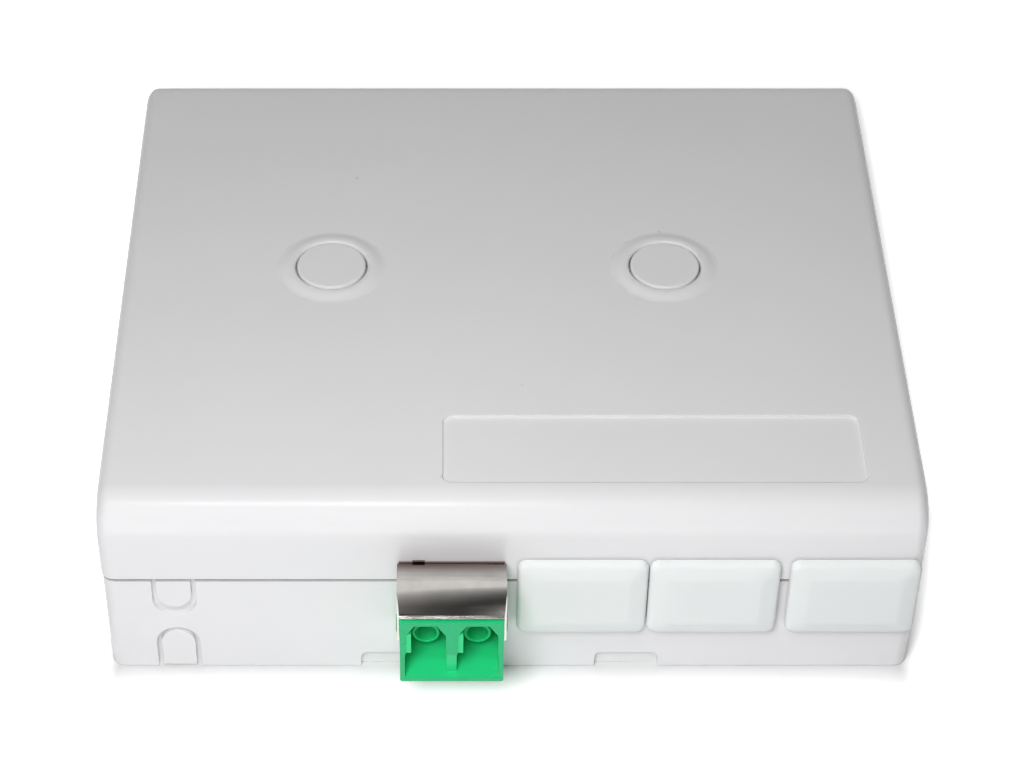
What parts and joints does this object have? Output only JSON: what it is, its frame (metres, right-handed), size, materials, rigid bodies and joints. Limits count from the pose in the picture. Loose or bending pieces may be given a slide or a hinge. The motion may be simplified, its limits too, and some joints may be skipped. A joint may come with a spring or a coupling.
{
  "type": "fibre termination box",
  "caption": "White moulded wall box for ending a fibre cable, with a green duplex adapter under a steel shutter, blank caps in the spare windows and round caps over its cover screws.",
  "frame": {"origin": "centre of the base's underside, which lies against the wall", "axes": "+X along the front wall to the right, +Y from the windows to the rear wall, +Z from the wall face out through the cover"},
  "size_m": [0.1006, 0.0944, 0.0286],
  "materials": {
    "case_plastic": "fine satin texture, warm white",
    "cap_plastic": "smooth satin, cooler white than the case",
    "adapter_plastic": "smooth bright green, slightly glossy",
    "shutter_steel": "thin rolled spring steel, satin",
    "screw_steel": "zinc plated",
    "sleeve_ceramic": "polished white ceramic",
    "tray_plastic": "satin, light grey",
    "comb_rubber": "soft matt rubber"
  },
  "bodies": {
    "housing": {"base": "case_plastic", "cover": "case_plastic", "cover_screw_left": "screw_steel", "cover_screw_right": "screw_steel", "adapter_front_housing": "adapter_plastic", "adapter_rear_housing": "adapter_plastic", "alignment_sleeve_left": "sleeve_ceramic", "alignment_sleeve_right": "sleeve_ceramic", "fibre_tray": "tray_plastic", "tray_screw_left": "screw_steel", "tray_screw_right": "screw_steel", "splice_comb": "comb_rubber", "cable_clamp": "tray_plastic", "clamp_screw_left": "screw_steel", "clamp_screw_right": "screw_steel"},
    "shutter": {"shutter": "shutter_steel"},
    "blank_cap_1": {"blank_cap_1": "cap_plastic"},
    "blank_cap_2": {"blank_cap_2": "cap_plastic"},
    "blank_cap_3": {"blank_cap_3": "cap_plastic"},
    "screw_cap_left": {"screw_cap_left": "case_plastic"},
    "screw_cap_right": {"screw_cap_right": "case_plastic"}
  },
  "joints": [
    {"name": "shutter_hinge", "type": "hinge", "parent": "housing", "child": "shutter", "pos_m": [-0.0073, -0.0472, 0.0136], "axis": [1, 0, 0], "range_deg": [0, 90]},
    {"name": "blank_cap_1_pull", "type": "slide", "parent": "housing", "child": "blank_cap_1", "axis": [0, -1, 0], "range_m": [0, 0.012]},
    {"name": "blank_cap_2_pull", "type": "slide", "parent": "housing", "child": "blank_cap_2", "axis": [0, -1, 0], "range_m": [0, 0.012]},
    {"name": "blank_cap_3_pull", "type": "slide", "parent": "housing", "child": "blank_cap_3", "axis": [0, -1, 0], "range_m": [0, 0.012]},
    {"name": "screw_cap_left_lift", "type": "slide", "parent": "housing", "child": "screw_cap_left", "axis": [0, 0, 1], "range_m": [0, 0.006]},
    {"name": "screw_cap_right_lift", "type": "slide", "parent": "housing", "child": "screw_cap_right", "axis": [0, 0, 1], "range_m": [0, 0.006]}
  ]
}
